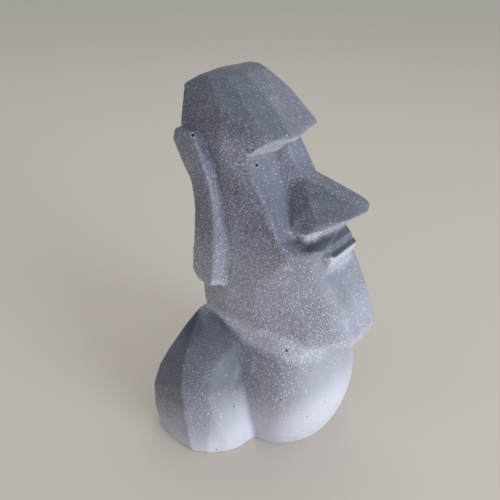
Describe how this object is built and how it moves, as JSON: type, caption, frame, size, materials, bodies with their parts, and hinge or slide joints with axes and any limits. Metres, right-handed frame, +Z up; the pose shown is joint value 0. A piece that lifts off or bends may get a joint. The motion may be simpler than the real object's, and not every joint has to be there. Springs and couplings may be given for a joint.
{
  "type": "moai stone head statue",
  "caption": "Small standing moai figurine: tall faceted head with heavy brow, long ears and jutting chin on a rounded bust, cast in one piece of granite-effect stone.",
  "frame": {"origin": "middle of the figure's width and depth, at the level of its underside", "axes": "+Z up through the crown, -Y the way the face looks, +X towards the figure's left ear"},
  "size_m": [0.055, 0.055, 0.0981],
  "materials": {
    "stone": "semi-matte dark grey granite effect with fine pale flecks, fading to pale grey at the foot"
  },
  "bodies": {
    "root": {"moai_casting": "stone"}
  },
  "joints": []
}
